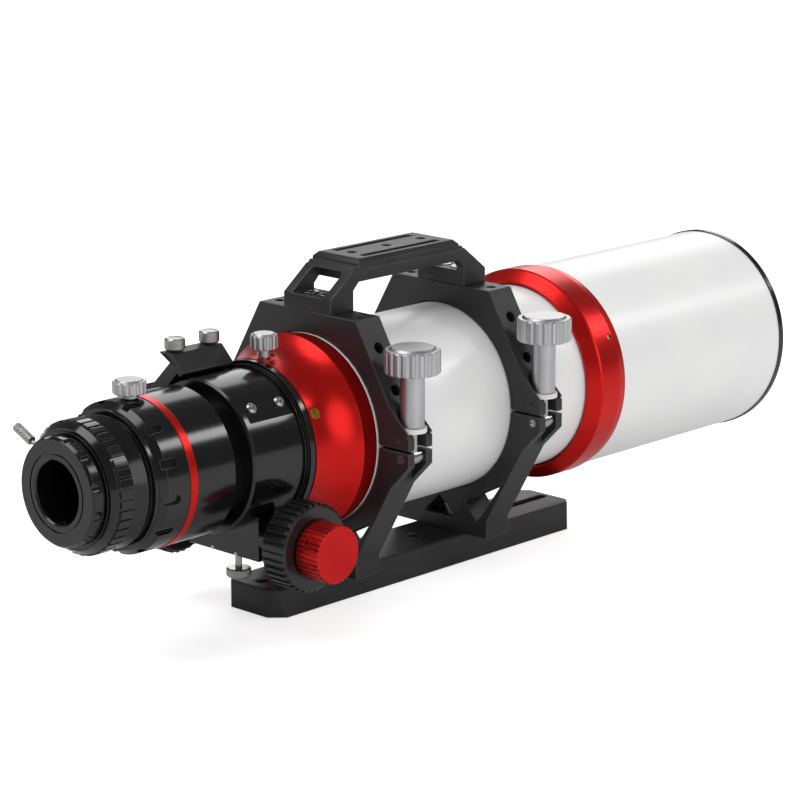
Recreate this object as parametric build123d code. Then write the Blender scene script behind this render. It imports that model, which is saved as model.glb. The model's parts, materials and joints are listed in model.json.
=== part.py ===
from build123d import *
from math import acos, atan2, cos, degrees, hypot, pi, radians, sin, tan
import os

os.makedirs("parts", exist_ok=True)

# A small refracting telescope: tube, sliding dew shield, rack-and-pinion focuser,
# two hinged rings with a handle, and the dovetail bar that carries them.
# Millimetres. +Z up, +Y along the tube towards the sky, X across.
# The origin is the middle of the bar's underside.

# ---- overall layout ----------------------------------------------------------
TUBE_R = 51.0            # main tube outside radius
TUBE_WALL = 2.0
TUBE_REAR = -74.9        # rear rim of the main tube
TUBE_FRONT = 118.0
FIT = 0.05               # radial clearance of a running or seated fit
SEAT = 0.02              # gap between faces that are screwed or glued together
FELT_T = 0.8             # felt that lines the ring bores
FELT_GAP = 0.15
RING_BORE_R = TUBE_R + FELT_GAP + FELT_T + FIT
BAR_T = 15.0             # thickness of the dovetail bar
FOOT_RISE = 23.3         # metal between the bar and the ring bore
AXIS_Z = BAR_T + FOOT_RISE + RING_BORE_R   # optical axis above the bar's underside

# ---- dovetail bar ------------------------------------------------------------
BAR_LENGTH = 236.0
BAR_TOP_W = 36.0
BAR_BOTTOM_W = 42.0
BAR_END_W = 26.8         # flat left between the cut corners
BAR_HOLE_R = 3.2
BAR_HOLE_Y = (-108.7, 5.5)
BAR_SLOT = (85.0, 112.0)
BAR_SLOT_W = 5.6
CSK_R = 5.4              # counterbore for the foot screws
CSK_DEPTH = 7.0
FOOT_SCREW_X = 11.0
FOOT_SCREW_R = 3.0

# ---- rings -------------------------------------------------------------------
RING_T = 17.6
RING_MID_Y = -15.0
RING_SPACING = 101.0
RING_Y = (RING_MID_Y - RING_SPACING / 2, RING_MID_Y + RING_SPACING / 2)
RING_ROOF = 10.8         # metal above the bore
RING_TOP_Z = AXIS_Z + RING_BORE_R + RING_ROOF
RING_TOP_X = 35.3
KINK_UP = (RING_BORE_R + 7.1, AXIS_Z + 22.0)   # where the slanted flank turns out to the ear
KINK_LOW = (RING_BORE_R + 8.3, AXIS_Z - 20.7)  # where the ear turns in to the truss foot
EAR_X = RING_BORE_R + 20.8
EAR_UP_Z = AXIS_Z + 8.8
EAR_LOW_Z = AXIS_Z - 8.1
FOOT_KINK = (37.2, BAR_T + 14.2)
FOOT_X = 35.0
FOOT_SIDE_H = 10.7       # upright side of the foot
SPLIT_GAP = 1.5
SIDE_HOLE_R = 3.0
SIDE_HOLE_DEPTH = 7.0
SIDE_HOLE_AT = (16.3, 39.6)                    # down the flank from the top corner
WINDOW_WALL = (7.0, 9.9) # metal between the bore and a side window, low and high
WINDOW_ANGLE = (72.0, 42.3)
WINDOW_LOW_X = 27.8
MIDDLE_WINDOW_X = 11.6
DOT_R = 0.9              # small blind hole above the split
DOT_DEPTH = 1.2
TOP_HOLE_X = 29.0
TOP_HOLE_R = 2.6
HINGE_X = -(RING_BORE_R + 14.5)
KNUCKLE_R = 5.5
PIN_R = 2.0

# ---- swing bolts and clamp knobs ------------------------------------------------
BOLT_X = RING_BORE_R + 15.1
FORK_Z = AXIS_Z - 4.3
STUD_R = 2.9
EYE_R = 4.2
SLOT_W = 8.6
SLOT_IN_X = BOLT_X - 5.5
SEAT_Z = AXIS_Z + 8.1    # spot-faced seat under the washer
SPOT_R = 7.9
WASHER_R = 7.4
WASHER_T = 2.4
WASHER_LIFT = 0.9        # slack that lets the bolt swing clear of the ear
SHANK_R = 6.2
SHANK_TOP = SEAT_Z + 31.7
KNOB_R = 14.5
KNOB_H = 12.2
KNOB_FLUTES = 20

# ---- handle ------------------------------------------------------------------
HANDLE_X = 17.2
HANDLE_FOOT_TOP = RING_TOP_Z + 7.9
HANDLE_UNDER = RING_TOP_Z + 14.5
HANDLE_BEAM_TOP = HANDLE_UNDER + 7.9
HANDLE_TOP = HANDLE_BEAM_TOP + 3.8
HANDLE_LEG = 17.0        # end leg, along the tube
HANDLE_RISE = 18.6       # run of the slope above a foot
HANDLE_WINDOW_X = 11.5
HANDLE_ROOF = 2.6        # metal above a window
RAIL_SLOPE = 2.4
HANDLE_SCREW_X = 5.6
HANDLE_SCREW_R = 2.5

# ---- dew shield and objective --------------------------------------------------
SHIELD_R = TUBE_R + 6.9
SHIELD_WALL = 1.8
COLLAR_REAR = 88.5
COLLAR_FRONT = 114.6
COLLAR_R = SHIELD_R + 1.5
COLLAR_BORE_R = TUBE_R + 1.0
SHIELD_FRONT = 259.9
RIM_LENGTH = 4.0
RIM_R = SHIELD_R + 0.7
CELL_R = TUBE_R + 2.2
CELL_REAR = TUBE_FRONT - 14.0
CELL_FRONT = TUBE_FRONT + 34.0
LENS_R = TUBE_R - 4.5
APERTURE_R = LENS_R - 1.5
LENS_GAP = 0.2           # between the glasses and what holds them
LENS_BACK = TUBE_FRONT + 4 + LENS_GAP
REAR_LENS_EDGE = 6.0
SPACER_T = 1.2
FRONT_LENS_EDGE = 8.0

# ---- cone adapter --------------------------------------------------------------
CONE_REAR = -110.3
CONE_REAR_R = 43.4
CONE_STEP_Y = -85.7
CONE_STEP_R = TUBE_R + 1.5
SPIGOT_R = 39.0
SPIGOT_FRONT = -101.0
LOCK_Y = -105.0          # knob that locks the focuser's turning
BRASS_Y = -106.4
BRASS_ANGLE = 28.6
BRASS_R = 2.9

# ---- focuser -------------------------------------------------------------------
BODY_R = 40.0
BODY_REAR = -150.6
BODY_FRONT = -116.0
FLANGE_R = 43.1
DRAW_R = 32.0
DRAW_WALL = 2.5
DRAW_REAR = -187.0
DRAW_FRONT = -58.0
BLOCK_X = 26.0
BLOCK_REAR = -135.2
BLOCK_FRONT = -116.6
PINION_MODULE = 0.8
PINION_TEETH = 16
PINION_PITCH_R = PINION_MODULE * PINION_TEETH / 2
PINION_Y = -126.0
PINION_Z = AXIS_Z - DRAW_R - PINION_PITCH_R - 3.5
BLOCK_Z = PINION_Z - 8.0
CAP_Z = BLOCK_Z - 4.0
PINION_HALF_W = 4.5
SHAFT_R = 3.0
RACK_HALF_W = 4.0
RACK_Y = (-132.0, -59.0)
BUSH_R = 6.5
BUSH_FLANGE_R = 9.5
COARSE_IN_X = 41.0
COARSE_OUT_X = 57.8
COARSE_R = 22.9
COARSE_RIBS = 34
FINE_IN_X = 58.2
FINE_OUT_X = 73.6
FINE_R = 15.0
FINE_RIBS = 36

CAP_SCREWS = [(x, PINION_Y + dy) for x in (-8.6, 8.6) for dy in (-6.6, 6.6)]
TENSION_Y = -124.8       # screw that sets the drawtube's drag
TENSION_R = 1.8
TENSION_HEAD_R = 6.6

# ---- rack and pinion teeth ----------------------------------------------------------
PRESSURE = radians(20)
TOOTH_UP = 0.70
TOOTH_DOWN = 0.95
BACKLASH = 0.16

# ---- finder shoe -------------------------------------------------------------------
FLAT_R = BODY_R - 0.8    # milled seats on the barrel, from the optical axis
BUTTON_ANGLE = 45.0      # spare seat
SHOE_ANGLE = 135.0
BUTTON_Y = (-140.8, -121.8)
SHOE_Y = (-151.6, -116.4)
SHOE_SCREW_Y = (-145.0, -121.5)
SHOE_BASE_T = 7.2
SHOE_FLOOR = FLAT_R + SEAT + SHOE_BASE_T
SHOE_HALF = 17.7         # half width of the slot at its floor
SHOE_WALL_T = 4.1
SHOE_SKIRT_T = 3.3
SHOE_SCREW_R = 1.8
SHOE_HEAD_R = 5.4

# ---- rotator and eyepiece end ----------------------------------------------------
SLEEVE_R = 33.0
SLEEVE_BORE_R = 30.5
SLEEVE_REAR = -206.5
HOUSING_R = 38.7
HOUSING_FRONT = -160.0
ACCENT_R = 38.9
ACCENT_Y = (-191.6, -187.1)
ROTATOR_R = 38.6
ROTATOR_Y = (-209.3, -191.9)
ROTATOR_FLUTES = 13
ROTATOR_LOCK_Y = -196.2
HOLDER_R = 35.4
HOLDER_SPIGOT_R = 29.9
NECK_R = 29.0
NECK_REAR = -236.4
HOLDER_CONE_REAR = -222.9
HOLDER_CONE_R = 31.0
TWO_INCH_R = 25.42
CLAMP_RING_R = 33.8
CLAMP_RING_Y = (-235.6, -223.1)
CLAMP_PADS = 40
ADAPTER_FACE = -244.1
ADAPTER_R = 27.6
ADAPTER_FLANGE_FRONT = -237.0
ADAPTER_BARREL_R = 25.36
ADAPTER_BARREL_FRONT = -206.0
EYEPIECE_R = 15.92
ADAPTER_FLUTES = 12
SCALLOP_ANGLE = 150.0
SET_SCREW_Y = -240.6
SET_SCREW_ANGLES = (60.0, 270.0)
THUMB_ANGLE = 155.0      # thumbscrew that locks the twist ring
THUMB_Y = (CLAMP_RING_Y[0] + CLAMP_RING_Y[1]) / 2
THUMB_R = 1.1
THUMB_HEAD_R = 2.6
THUMB_HEAD = (39.0, 52.3)

CENTRED = (Align.CENTER, Align.CENTER, Align.MIN)
OPTICAL_AXIS = Axis((0, 0, AXIS_Z), (0, 1, 0))


# ---- small shape helpers ---------------------------------------------------------
def block(x0, x1, y0, y1, z0, z1):
    """Rectangular block between two corners."""
    size = Box(x1 - x0, y1 - y0, z1 - z0, align=(Align.MIN, Align.MIN, Align.MIN))
    return Pos(x0, y0, z0) * size


def rod_z(r, z0, z1, x, y):
    """Upright cylinder."""
    return Pos(x, y, z0) * Cylinder(r, z1 - z0, align=CENTRED)


def rod_y(r, y0, y1, x=0.0, z=AXIS_Z):
    """Cylinder along the tube's direction."""
    return Pos(x, y0, z) * Rot(-90, 0, 0) * Cylinder(r, y1 - y0, align=CENTRED)


def rod_x(r, x0, x1, y, z):
    """Cylinder across the tube."""
    return Pos(x0, y, z) * Rot(0, 90, 0) * Cylinder(r, x1 - x0, align=CENTRED)


def turned(profile):
    """Solid turned about the optical axis from (radius, y) corners."""
    corners = [(r, y, AXIS_Z) for r, y in profile]
    return revolve(make_face(Polyline(corners, close=True)), OPTICAL_AXIS)


def sleeve(r_out, r_in, y0, y1):
    """Plain ring about the optical axis."""
    return turned([(r_in, y0), (r_out, y0), (r_out, y1), (r_in, y1)])


def around(angle, shape):
    """Turns a shape drawn above the axis to another angle, 0 at +X and 90 up."""
    return Pos(0, 0, AXIS_Z) * Rot(0, 90 - angle, 0) * Pos(0, 0, -AXIS_Z) * shape


def radial_rod(r, start, end, y, angle):
    """Cylinder standing on the optical axis' radius at an angle."""
    return around(angle, rod_z(r, AXIS_Z + start, AXIS_Z + end, 0, y))


def plate_y(points, y0, y1):
    """Plate cut from an (x, z) outline, lying across the tube."""
    face = make_face(Polyline([(x, y0, z) for x, z in points], close=True))
    return extrude(face, amount=y1 - y0, dir=(0, 1, 0))


def plate_x(points, x0, x1):
    """Plate cut from a (y, z) outline, standing along the tube."""
    face = make_face(Polyline([(x0, y, z) for y, z in points], close=True))
    return extrude(face, amount=x1 - x0, dir=(1, 0, 0))


def fluted_head(r, z0, z1, flutes, flute_r, dome=0.0):
    """Round knob head on +Z with scooped flutes and a low dome."""
    head = rod_z(r, z0, z1, 0, 0)
    head = chamfer(head.edges().filter_by(GeomType.CIRCLE), 0.6)
    for i in range(flutes):
        a = 2 * pi * i / flutes
        reach = r + flute_r * 0.55
        head -= rod_z(flute_r, z0 - 1, z1 + 1, reach * cos(a), reach * sin(a))
    if dome:
        cap = rod_z(r * 0.82, z1 - 0.2, z1 + dome, 0, 0)
        head += chamfer(cap.edges().group_by(Axis.Z)[-1], dome * 0.9)
    return head


def save(shape, name):
    """Writes one node as a STEP file; a list becomes a group of solids."""
    if isinstance(shape, (list, tuple)):
        shape = Compound(children=[s for item in shape for s in item.solids()])
    export_step(shape, f"parts/{name}.step")


# ---- the bar ---------------------------------------------------------------------
def dovetail_bar():
    """Flared mounting bar with cut corners, holes and an end slot."""
    half = BAR_LENGTH / 2
    bar = plate_y([(-BAR_BOTTOM_W / 2, 0), (BAR_BOTTOM_W / 2, 0),
                   (BAR_TOP_W / 2, BAR_T), (-BAR_TOP_W / 2, BAR_T)], -half, half)
    e = BAR_END_W / 2
    w = BAR_BOTTOM_W / 2 + 1
    cut = half - (w - e)
    plan = [(e, -half), (w, -cut), (w, cut), (e, half), (-e, half), (-w, cut), (-w, -cut), (-e, -half)]
    outline = extrude(make_face(Polyline([(x, y, -1) for x, y in plan], close=True)),
                      amount=BAR_T + 2, dir=(0, 0, 1))
    bar = bar & outline
    bar = chamfer(bar.edges().group_by(Axis.Z)[-1], 0.5)
    for y in BAR_HOLE_Y:
        bar -= rod_z(BAR_HOLE_R, -1, BAR_T + 1, 0, y)
    y0, y1 = BAR_SLOT
    bar -= block(-BAR_SLOT_W / 2, BAR_SLOT_W / 2, y0, y1, -1, BAR_T + 1)
    bar -= rod_z(BAR_SLOT_W / 2, -1, BAR_T + 1, 0, y0)
    bar -= rod_z(BAR_SLOT_W / 2, -1, BAR_T + 1, 0, y1)
    for y in RING_Y:
        for x in (-FOOT_SCREW_X, FOOT_SCREW_X):
            bar -= rod_z(FOOT_SCREW_R + 0.2, -1, BAR_T + 1, x, y)
            bar -= rod_z(CSK_R, -1, CSK_DEPTH, x, y)
    return bar


def foot_screws():
    """Cap screws that hold the ring feet down on the bar."""
    screws = []
    head_top = CSK_DEPTH - SEAT
    head_h = 5.6
    for y in RING_Y:
        for x in (-FOOT_SCREW_X, FOOT_SCREW_X):
            s = rod_z(CSK_R - 0.4, head_top - head_h, head_top, x, y)
            s += rod_z(FOOT_SCREW_R, head_top - 0.1, BAR_T + 7.5, x, y)
            socket = Pos(x, y, head_top - head_h - 1) * extrude(RegularPolygon(2.9, 6), 4)
            screws.append(s - socket)
    return screws


# ---- the rings -------------------------------------------------------------------
def ring_outline(upper):
    """Half outline of a ring, mirrored left and right."""
    z_cut = AXIS_Z + SPLIT_GAP / 2 if upper else AXIS_Z - SPLIT_GAP / 2
    if upper:
        side = [(RING_TOP_X, RING_TOP_Z), KINK_UP, (EAR_X, EAR_UP_Z), (EAR_X, z_cut)]
    else:
        side = [(EAR_X, z_cut), (EAR_X, EAR_LOW_Z), KINK_LOW, FOOT_KINK,
                (FOOT_X, BAR_T + FOOT_SIDE_H), (FOOT_X, BAR_T + SEAT)]
    return side + [(-x, z) for x, z in reversed(side)]


def knuckles(y, thirds):
    """Hinge barrels of one ring half, at the chosen thirds of its thickness."""
    third = RING_T / 3
    y0 = y - RING_T / 2
    out = None
    for i in thirds:
        lo = y0 + i * third + (0.15 if i else 0.0)
        hi = y0 + (i + 1) * third - (0.15 if i < 2 else 0.0)
        k = rod_y(KNUCKLE_R, lo, hi, HINGE_X, AXIS_Z)
        out = k if out is None else out + k
    return out


def knuckle_room(y, thirds):
    """Clearance cut where the other half's barrels turn."""
    third = RING_T / 3
    y0 = y - RING_T / 2
    out = None
    for i in thirds:
        lo = y0 + i * third - (0.15 if i else 1.0)
        hi = y0 + (i + 1) * third + (0.15 if i < 2 else 1.0)
        k = rod_y(KNUCKLE_R + 0.4, lo, hi, HINGE_X, AXIS_Z)
        out = k if out is None else out + k
    return out


def bolt_slot(y):
    """Open slot through the ears for the swing bolt."""
    half = SLOT_W / 2
    return block(SLOT_IN_X, EAR_X + 5, y - half, y + half, EAR_LOW_Z - 16, EAR_UP_Z + 20)


def ring_base(y):
    """Lower half of a ring: truss foot, fork ear and outer hinge barrels."""
    y0, y1 = y - RING_T / 2, y + RING_T / 2
    body = plate_y(ring_outline(False), y0, y1)
    body -= rod_y(RING_BORE_R, y0 - 1, y1 + 1)
    for side in (1, -1):
        window = [(side * WINDOW_LOW_X, BAR_T + 8.4)]
        for wall, angle in zip(WINDOW_WALL, WINDOW_ANGLE):
            reach = RING_BORE_R + wall
            window.append((side * reach * cos(radians(angle)), AXIS_Z - reach * sin(radians(angle))))
        body -= plate_y(window, y0 - 1, y1 + 1)
    middle = [(-MIDDLE_WINDOW_X, BAR_T + 7.6), (MIDDLE_WINDOW_X, BAR_T + 7.6), (0, BAR_T + 19.0)]
    body -= plate_y(middle, y0 - 1, y1 + 1)
    body -= knuckle_room(y, (1,))
    body += knuckles(y, (0, 2))
    body -= rod_y(PIN_R + SEAT, y0 - 1, y1 + 1, HINGE_X, AXIS_Z)
    body -= bolt_slot(y) & block(0, EAR_X + 5, y0 - 1, y1 + 1, AXIS_Z - 40, AXIS_Z)
    body -= rod_y(PIN_R + SEAT, y0 - 1, y1 + 1, BOLT_X, FORK_Z)
    for x in (-FOOT_SCREW_X, FOOT_SCREW_X):
        body -= rod_z(FOOT_SCREW_R + SEAT, 10, BAR_T + 8, x, y)
    return body


def ring_top(y):
    """Upper half of a ring: flat top, side holes, slotted ear, middle hinge barrel."""
    y0, y1 = y - RING_T / 2, y + RING_T / 2
    body = plate_y(ring_outline(True), y0, y1)
    body -= rod_y(RING_BORE_R, y0 - 1, y1 + 1)
    body -= knuckle_room(y, (0, 2))
    body += knuckles(y, (1,))
    body -= rod_y(PIN_R + SEAT, y0 - 1, y1 + 1, HINGE_X, AXIS_Z)
    body -= bolt_slot(y)
    body -= rod_z(SPOT_R, SEAT_Z, SEAT_Z + 30, BOLT_X, y)
    body -= block(BOLT_X, EAR_X + 5, y - SPOT_R, y + SPOT_R, SEAT_Z, SEAT_Z + 20)
    lip = 1.4
    nose = [(EAR_X - lip, SEAT_Z + 0.01), (EAR_X + 0.1, SEAT_Z + 0.01), (EAR_X + 0.1, SEAT_Z - lip)]
    body -= plate_y(nose, y0 - 1, y1 + 1)
    body -= rod_y(DOT_R, y0 - 1, y0 + DOT_DEPTH, BOLT_X - 1.3, AXIS_Z + 5.4)
    dx, dz = KINK_UP[0] - RING_TOP_X, KINK_UP[1] - RING_TOP_Z
    lean = degrees(atan2(-dz, dx))
    flank = hypot(dx, dz)
    for side in (1, -1):
        for down in SIDE_HOLE_AT:
            x = RING_TOP_X + dx * down / flank
            z = RING_TOP_Z + dz * down / flank
            drill = Pos(0, 0, -SIDE_HOLE_DEPTH) * Cylinder(SIDE_HOLE_R, SIDE_HOLE_DEPTH + 5, align=CENTRED)
            body -= Pos(side * x, y, z) * Rot(0, side * lean, 0) * drill
        body -= rod_z(TOP_HOLE_R, RING_TOP_Z - 10, RING_TOP_Z + 1, side * TOP_HOLE_X, y)
        body -= rod_z(HANDLE_SCREW_R + SEAT, RING_TOP_Z - 9, RING_TOP_Z + 1, side * HANDLE_SCREW_X, y)
    return body


def felts(upper):
    """Half-round felt strips glued in the ring bores."""
    strips = []
    r1 = RING_BORE_R - FIT
    for y in RING_Y:
        ring = sleeve(r1, r1 - FELT_T, y - RING_T / 2 + 0.8, y + RING_T / 2 - 0.8)
        z0, z1 = (AXIS_Z + 1.5, AXIS_Z + 80) if upper else (AXIS_Z - 80, AXIS_Z - 1.5)
        strips.append(ring & block(-80, 80, y - 40, y + 40, z0, z1))
    return strips


def hinge_pins():
    """Pins through the ring hinges."""
    return [rod_y(PIN_R, y - RING_T / 2, y + RING_T / 2, HINGE_X, AXIS_Z) for y in RING_Y]


def fork_pins():
    """Slotted cross pins that the swing bolts turn on."""
    pins = []
    for y in RING_Y:
        y0 = y - RING_T / 2
        pin = rod_y(PIN_R, y0 + 0.2, y + RING_T / 2 - 0.4, BOLT_X, FORK_Z)
        pins.append(pin - block(BOLT_X - 3, BOLT_X + 3, y0 - 1, y0 + 0.9, FORK_Z - 0.35, FORK_Z + 0.35))
    return pins


def swing_bolt(y):
    """Eye bolt: an eye on the fork pin and a stud that runs up into the knob."""
    eye = rod_y(EYE_R, y - SLOT_W / 2 + 0.25, y + SLOT_W / 2 - 0.25, BOLT_X, FORK_Z)
    bolt = eye + rod_z(STUD_R, FORK_Z, SHANK_TOP - 4, BOLT_X, y)
    return bolt - rod_y(PIN_R + FIT, y - 20, y + 20, BOLT_X, FORK_Z)


def clamp_washer(y):
    """White nylon washer between the knob and the ear."""
    z0 = SEAT_Z + WASHER_LIFT
    hole = rod_z(STUD_R + FIT, z0 - 1, z0 + WASHER_T + 1, BOLT_X, y)
    return rod_z(WASHER_R, z0, z0 + WASHER_T, BOLT_X, y) - hole


def clamp_knob(y):
    """Fluted knob on a long round shank, threaded over the stud."""
    z0 = SEAT_Z + WASHER_LIFT + WASHER_T + SEAT
    shank = chamfer(rod_z(SHANK_R, z0, SHANK_TOP + 1, 0, 0).edges().group_by(Axis.Z)[0], 0.5)
    knob = shank + fluted_head(KNOB_R, SHANK_TOP, SHANK_TOP + KNOB_H, KNOB_FLUTES, 1.7, 1.2)
    knob -= rod_z(STUD_R + FIT, z0 - 1, SHANK_TOP - 3, 0, 0)
    return Pos(BOLT_X, y, 0) * knob


# ---- the handle ------------------------------------------------------------------
def handle():
    """Carrying handle that doubles as a top rail across both rings."""
    y0, y1 = RING_Y[0] - RING_T / 2 + 0.2, RING_Y[1] + RING_T / 2 - 0.2
    in0, in1 = y0 + HANDLE_LEG, y1 - HANDLE_LEG
    foot = RING_TOP_Z + SEAT
    rise = HANDLE_RISE
    outline = [(y0, foot), (in0, foot), (in0, HANDLE_UNDER - 4), (in0 + 4, HANDLE_UNDER),
               (in1 - 4, HANDLE_UNDER), (in1, HANDLE_UNDER - 4), (in1, foot), (y1, foot),
               (y1, HANDLE_FOOT_TOP), (y1 - rise, HANDLE_BEAM_TOP),
               (y0 + rise, HANDLE_BEAM_TOP), (y0, HANDLE_FOOT_TOP)]
    body = plate_x(outline, -HANDLE_X, HANDLE_X)
    r0, r1 = y0 + rise + 2.5, y1 - rise - 2.5
    rail = block(-HANDLE_X, HANDLE_X, r0, r1, HANDLE_BEAM_TOP - 0.1, HANDLE_TOP)
    body += chamfer(rail.edges().group_by(Axis.Z)[-1], RAIL_SLOPE)
    for x0, x1 in ((-HANDLE_X - 1, -HANDLE_X + 0.8), (HANDLE_X - 0.8, HANDLE_X + 1)):
        body -= block(x0, x1, y0, y1, HANDLE_BEAM_TOP - 1.6, HANDLE_BEAM_TOP - 0.6)
    for a, b in ((y0 - 1, in0 + 3.5), (in1 - 3.5, y1 + 1)):
        top = HANDLE_BEAM_TOP - HANDLE_ROOF
        window = block(-HANDLE_WINDOW_X, HANDLE_WINDOW_X, a, b, HANDLE_FOOT_TOP, top)
        body -= fillet(window.edges().filter_by(Axis.Y).group_by(Axis.Z)[-1], 2.4)
    mid = (y0 + y1) / 2
    for x in (-10.0, 10.0):
        body -= block(x - 2.1, x + 2.1, mid - 29, mid + 29, HANDLE_UNDER - 1, HANDLE_TOP + 1)
    for dy in (-26.0, 0.0, 26.0):
        body -= rod_z(2.6, HANDLE_UNDER - 1, HANDLE_TOP + 1, 0, mid + dy)
    for y in RING_Y:
        for x in (-HANDLE_SCREW_X, HANDLE_SCREW_X):
            body -= rod_z(HANDLE_SCREW_R + 0.2, foot - 1, HANDLE_FOOT_TOP + 30, x, y)
            body -= rod_z(4.5, HANDLE_FOOT_TOP - 4.6, HANDLE_FOOT_TOP + 1, x, y)
    return body


def handle_screws():
    """Silver socket screws in the handle feet."""
    screws = []
    seat = HANDLE_FOOT_TOP - 4.6 + SEAT
    for y in RING_Y:
        for x in (-HANDLE_SCREW_X, HANDLE_SCREW_X):
            s = rod_z(4.2, seat, seat + 5.0, x, y)
            s += rod_z(HANDLE_SCREW_R, RING_TOP_Z - 8, seat + 0.1, x, y)
            socket = Pos(x, y, seat + 2.2) * extrude(RegularPolygon(2.3, 6), 4)
            screws.append(s - socket)
    return screws


# ---- main tube and objective --------------------------------------------------------
def main_tube():
    """Painted tube with an internal thread land at the front."""
    return sleeve(TUBE_R, TUBE_R - TUBE_WALL, TUBE_REAR, TUBE_FRONT)


def tube_baffles():
    """Knife-edge light baffles pressed inside the tube."""
    out = []
    rim = TUBE_R - TUBE_WALL - SEAT
    for y, edge in ((-30.0, 36.0), (20.0, 39.5), (70.0, 43.0)):
        out.append(turned([(rim, y), (rim, y + 5), (rim - 1.2, y + 5), (rim - 1.2, y + 1.2),
                           (edge, y + 0.4), (edge, y)]))
    return out


def objective_cell():
    """Cell that screws into the tube and carries the lens pair."""
    inner = TUBE_R - TUBE_WALL - SEAT
    return turned([(APERTURE_R, CELL_REAR), (inner, CELL_REAR), (inner, TUBE_FRONT + SEAT),
                   (CELL_R, TUBE_FRONT + SEAT), (CELL_R, CELL_FRONT), (LENS_R + SEAT, CELL_FRONT),
                   (LENS_R + SEAT, TUBE_FRONT + 4), (APERTURE_R, TUBE_FRONT + 4)])


def lens_disc(y0, edge, rear_bulge, front_bulge):
    """Round lens with a straight edge and ball-ground faces; a bulge is positive outwards."""
    y1 = y0 + edge
    disc = rod_y(LENS_R, y0 - max(rear_bulge, 0.0), y1 + max(front_bulge, 0.0))
    for bulge, face, out in ((rear_bulge, y0, -1), (front_bulge, y1, 1)):
        ball_r = (LENS_R ** 2 + bulge ** 2) / (2 * abs(bulge))
        centre = face + out * bulge - out * ball_r if bulge > 0 else face + out * bulge + out * ball_r
        ball = Pos(0, centre, AXIS_Z) * Sphere(ball_r)
        disc = disc & ball if bulge > 0 else disc - ball
    return disc


def rear_lens():
    """Rear element of the objective, hollow towards the front."""
    return lens_disc(LENS_BACK, REAR_LENS_EDGE, 0.6, -2.2)


def lens_spacer():
    """Thin ring that keeps the two elements apart."""
    y0 = LENS_BACK + REAR_LENS_EDGE + LENS_GAP
    return sleeve(LENS_R, APERTURE_R, y0, y0 + SPACER_T)


def front_lens():
    """Front element of the objective, full on both sides."""
    y0 = LENS_BACK + REAR_LENS_EDGE + SPACER_T + 2 * LENS_GAP
    return lens_disc(y0, FRONT_LENS_EDGE, 1.4, 2.4)


def lens_retainer():
    """Threaded ring that holds the lenses down in the cell."""
    y0 = LENS_BACK + REAR_LENS_EDGE + SPACER_T + FRONT_LENS_EDGE + 3 * LENS_GAP
    ring = sleeve(LENS_R, APERTURE_R, y0, y0 + 5)
    for a in (0, 180):
        ring -= around(a, block(-1.5, 1.5, y0 + 3, y0 + 6, AXIS_Z + LENS_R - 6.5, AXIS_Z + LENS_R + 2))
    return ring


# ---- dew shield ---------------------------------------------------------------------
def dew_shield():
    """Painted sliding shield in front of the objective."""
    bore = SHIELD_R - SHIELD_WALL
    return sleeve(SHIELD_R, bore, COLLAR_FRONT + SEAT, SHIELD_FRONT - RIM_LENGTH)


def shield_collar():
    """Collar at the shield's rear, with a spigot inside the shield."""
    spigot = SHIELD_R - SHIELD_WALL - SEAT
    body = turned([(COLLAR_BORE_R, COLLAR_REAR), (COLLAR_BORE_R + 1.2, COLLAR_REAR),
                   (COLLAR_R - 0.6, COLLAR_REAR + 5.0), (COLLAR_R, COLLAR_REAR + 6.0),
                   (COLLAR_R, COLLAR_FRONT - 5.5), (COLLAR_R - 0.5, COLLAR_FRONT - 5.5),
                   (SHIELD_R + 0.2, COLLAR_FRONT), (spigot, COLLAR_FRONT),
                   (spigot, COLLAR_FRONT + 6), (spigot - 1.6, COLLAR_FRONT + 6),
                   (spigot - 1.6, COLLAR_FRONT - 1), (COLLAR_BORE_R, COLLAR_FRONT - 3)])
    for a in (27.6, 147.6, 267.6):
        body -= radial_rod(1.52, COLLAR_BORE_R - 3, COLLAR_R + 3, COLLAR_FRONT - 8, a)
    return body


def collar_felt():
    """Felt band in the collar that rides on the tube."""
    r1 = COLLAR_BORE_R - FIT
    return sleeve(r1, TUBE_R + FELT_GAP, COLLAR_REAR + 2, COLLAR_FRONT - 11)


def collar_screws():
    """Small set screws in the collar."""
    return [radial_rod(1.5, COLLAR_BORE_R + 0.6, COLLAR_R - 0.8, COLLAR_FRONT - 8, a)
            for a in (27.6, 147.6, 267.6)]


def shield_rim():
    """Black ring that finishes the shield's mouth."""
    bore = SHIELD_R - SHIELD_WALL
    y0 = SHIELD_FRONT - RIM_LENGTH
    return turned([(bore - 1.5, y0 - 5), (bore - SEAT, y0 - 5), (bore - SEAT, y0 + SEAT),
                   (RIM_R, y0 + SEAT), (RIM_R, SHIELD_FRONT - 0.8), (RIM_R - 0.8, SHIELD_FRONT),
                   (bore - 1.5, SHIELD_FRONT)])


# ---- cone adapter --------------------------------------------------------------------

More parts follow.
